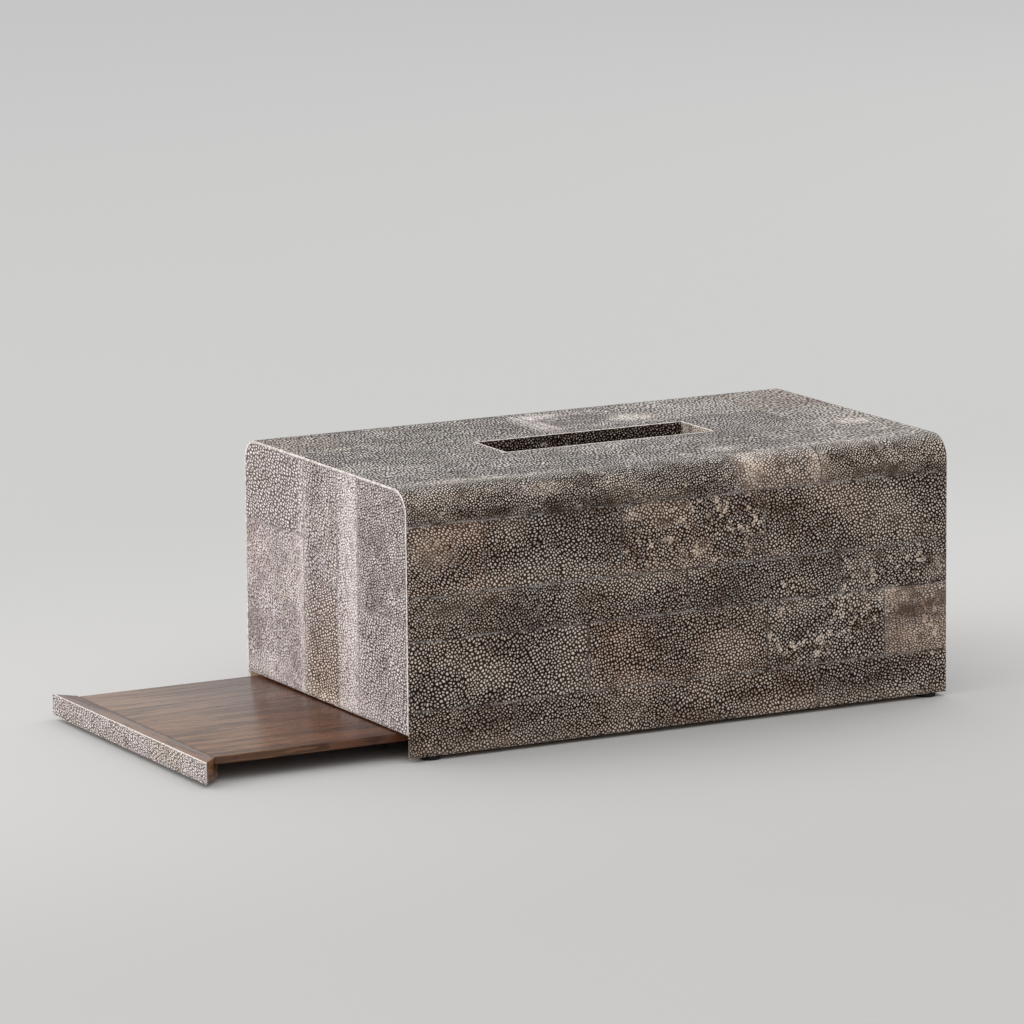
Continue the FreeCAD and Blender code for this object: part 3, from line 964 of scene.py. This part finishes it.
def lay_hide():
    """All the tiles of the shell."""
    for side, facing in (("near", (0, -1, 0)), ("far", (0, 1, 0))):
        for row in ("one", "two", "three", "four"):
            shape = mark_mouth if row == "one" else None
            dress_row(f"{side}_row_{row}", facing, X, (Z,), side_chart, shape)
        dress_row(f"{side}_edge", "wrap", X, (Z, Y), unrolled)
    for row in ("near", "middle", "far"):
        shape = open_slot if row == "middle" else None
        dress_row(f"top_{row}", (0, 0, 1), X, (Y,), top_chart, shape)
    for end, facing in (("left", (-1, 0, 0)), ("right", (1, 0, 0))):
        for column in ("one", "two", "three", "four"):
            shape = round_corner if column in ("one", "four") else None
            dress_row(f"{end}_column_{column}", facing, Z, (Y,), end_chart, shape)


def finish_block(piece, rounding, material, body, node):
    """Rounds a solid piece, gives it its one material and settles it."""
    bpy.ops.object.mode_set(mode="OBJECT")
    soften(piece, rounding, 3)
    piece.data.materials.clear()
    piece.data.materials.append(material)
    settle(piece, body, node)


def line_slot():
    """Strips of hide on the slot's four walls, their cut edges flush with the top."""
    walls = {"near": (0, 1, 0), "far": (0, -1, 0), "left": (1, 0, 0), "right": (-1, 0, 0)}
    for wall, facing in walls.items():
        node = f"slot_lining_{wall}"
        low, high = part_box(node)
        piece = start_block(f"slot_hide_{wall}", low, high)
        axis = X if facing[X] == 0 else Y
        cut_along(piece, axis, WAVE_CUTS)
        bpy.ops.object.mode_set(mode="OBJECT")
        soften(piece, HIDE_ROUNDING, 2)
        chart_hide(piece, node, facing, axis, [], side_chart if axis == X else end_chart)
        settle(piece, "shell", node)


BOARD_ROUNDING = 0.6 * MM
LIP_ROUNDING = 0.3 * MM
FOOT_ROUNDING = 0.15 * MM
FOOT_SIDES = 48


def mitre_ends(piece, front):
    """Slants both ends of a piece of the tray at 45 degrees, from its front back."""
    for point in piece.data.vertices:
        depth = point.co.x - front
        if point.co.y < 0:
            point.co.y = SHELL_LOW.y + depth
        else:
            point.co.y = SHELL_HIGH.y - depth


def make_tray():
    """The walnut board, its lip and the hide that faces the lip, which slide together."""
    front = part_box("tray_facing")[0].x
    low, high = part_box("tray_board")
    board = start_block("walnut_board", low, high)
    finish_block(board, BOARD_ROUNDING, BOARD_WALNUT, "tray", "tray_board")

    board_front, board_bottom = low.x, low.z
    low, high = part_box("tray_lip")
    lip = start_block("walnut_lip", low, Vector((board_front, high.y, high.z)))
    saw(Z, board_bottom)
    select_faces(lip, lambda centre, normal: normal.x > PARALLEL and centre.z < board_bottom)
    bpy.ops.mesh.extrude_region_move(TRANSFORM_OT_translate={"value": (high.x - board_front, 0, 0)})
    bpy.ops.object.mode_set(mode="OBJECT")
    mitre_ends(lip, front)
    bpy.ops.object.mode_set(mode="EDIT")
    finish_block(lip, LIP_ROUNDING, LIP_WALNUT, "tray", "tray_lip")

    low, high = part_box("tray_facing")
    facing = start_block("hide_facing", low, high)
    cut_along(facing, Y, WAVE_CUTS)
    bpy.ops.object.mode_set(mode="OBJECT")
    mitre_ends(facing, front)
    soften(facing, HIDE_ROUNDING, 2)
    chart_hide(facing, "tray_facing", (-1, 0, 0), Y, [], end_chart)
    settle(facing, "tray", "tray_facing")


def make_feet():
    """A rubber disc in the place of each foot."""
    for node in frame["nodes"]:
        if node.endswith("_foot"):
            low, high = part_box(node)
            clear_selection()
            bpy.ops.mesh.primitive_cylinder_add(vertices=FOOT_SIDES, radius=(high.x - low.x) / 2,
                                                depth=high.z - low.z, location=(low + high) / 2)
            foot = open_piece(f"rubber_{node}")
            finish_block(foot, FOOT_ROUNDING, RUBBER, "shell", node)


def finish_panels_shaded_inside():
    """Gives the shell's own panels their finish, with painted shade inside."""
    for panel in frame["nodes"].values():
        panel.data.materials.clear()
        panel.data.materials.append(PANEL_WOOD)


lay_hide()
line_slot()
make_tray()
make_feet()
finish_panels_shaded_inside()

# ------------------------------------------------------------------ camera, light and floor

CAMERA_PLACE = Vector((-1.26015, -2.37954, 0.59465))
YAW, PITCH, ROLL = math.radians(28.0134), math.radians(10.6700), math.radians(-0.5041)
LENS = 220.37
FLOOR_SIZE = 16
ROOM_COLOR = (0.8, 0.8, 0.795, 1)
WALL_LIGHT, BACK_LIGHT, CEILING_LIGHT = 0.45, 0.2, 1.15


def add_to_scene(name, data):
    item = bpy.data.objects.new(name, data)
    bpy.context.scene.collection.objects.link(item)
    return item


def make_camera():
    """A long lens a little above the box, looking across its near left corner."""
    ahead = math.cos(PITCH)
    forward = Vector((math.sin(YAW) * ahead, math.cos(YAW) * ahead, -math.sin(PITCH)))
    level = Vector((math.cos(YAW), -math.sin(YAW), 0))
    over = level.cross(forward)
    right = level * math.cos(ROLL) + over * math.sin(ROLL)
    up = over * math.cos(ROLL) - level * math.sin(ROLL)
    data = bpy.data.cameras.new("camera")
    data.lens = LENS
    camera = add_to_scene("camera", data)
    turn = Matrix((right, up, -forward)).transposed()
    camera.matrix_world = Matrix.Translation(CAMERA_PLACE) @ turn.to_4x4()
    bpy.context.scene.camera = camera


def make_lamp(name, place, target, size, power):
    """A broad lamp at one place, turned to face another."""
    data = bpy.data.lights.new(name, "AREA")
    data.shape = "RECTANGLE"
    data.size, data.size_y = size
    data.energy = power
    lamp = add_to_scene(name, data)
    lamp.location = place
    lamp.rotation_euler = (Vector(target) - Vector(place)).to_track_quat("-Z", "Y").to_euler()


def make_studio():
    """A grey floor in a pale room, painted brighter around the box, with two lamps, the stronger one to
    the left like a window.
    """
    clear_selection()
    bpy.ops.mesh.primitive_plane_add(size=FLOOR_SIZE, location=(0, 0, 0))
    floor = bpy.context.object
    floor.name = "floor"
    r = Recipe("floor")
    # Painted light: the floor is brightest around the box and darker in front of it and far behind it.
    depth = r.part(r.place(), "Y")
    color = r.blend(r.smooth(depth, -0.35, 0.0), tint(188, 187, 186), tint(201, 200, 199))
    color = r.blend(r.smooth(depth, 0.1, 0.5), color, tint(191, 191, 190))
    color = r.blend(r.smooth(depth, 1.4, 2.6), color, tint(191, 191, 193))
    floor.data.materials.append(r.finish(color, 0.9))
    light_room()
    make_lamp("window", (-2.3, 0.5, 0.85), (0, 0, 0.05), (3.0, 1.4), 29)
    make_lamp("fill", (2.2, 0.9, 1.4), (0.1, 0, 0), (2.0, 2.0), 9)


def light_room():
    """A pale room whose ceiling gives the most light, and its near wall the least."""
    world = bpy.data.worlds.new("studio")
    world.use_nodes = True
    tree = world.node_tree
    lean = tree.nodes.new("ShaderNodeVectorMath")
    lean.operation = "DOT_PRODUCT"
    lean.inputs[1].default_value = (0, BACK_LIGHT, CEILING_LIGHT)
    strength = tree.nodes.new("ShaderNodeMath")
    strength.inputs[1].default_value = WALL_LIGHT
    tree.links.new(tree.nodes.new("ShaderNodeTexCoord").outputs["Generated"], lean.inputs[0])
    tree.links.new(lean.outputs["Value"], strength.inputs[0])
    tree.links.new(strength.outputs["Value"], tree.nodes["Background"].inputs["Strength"])
    tree.nodes["Background"].inputs["Color"].default_value = ROOM_COLOR
    bpy.context.scene.world = world


make_camera()
make_studio()
bpy.context.scene.view_settings.view_transform = "Standard"
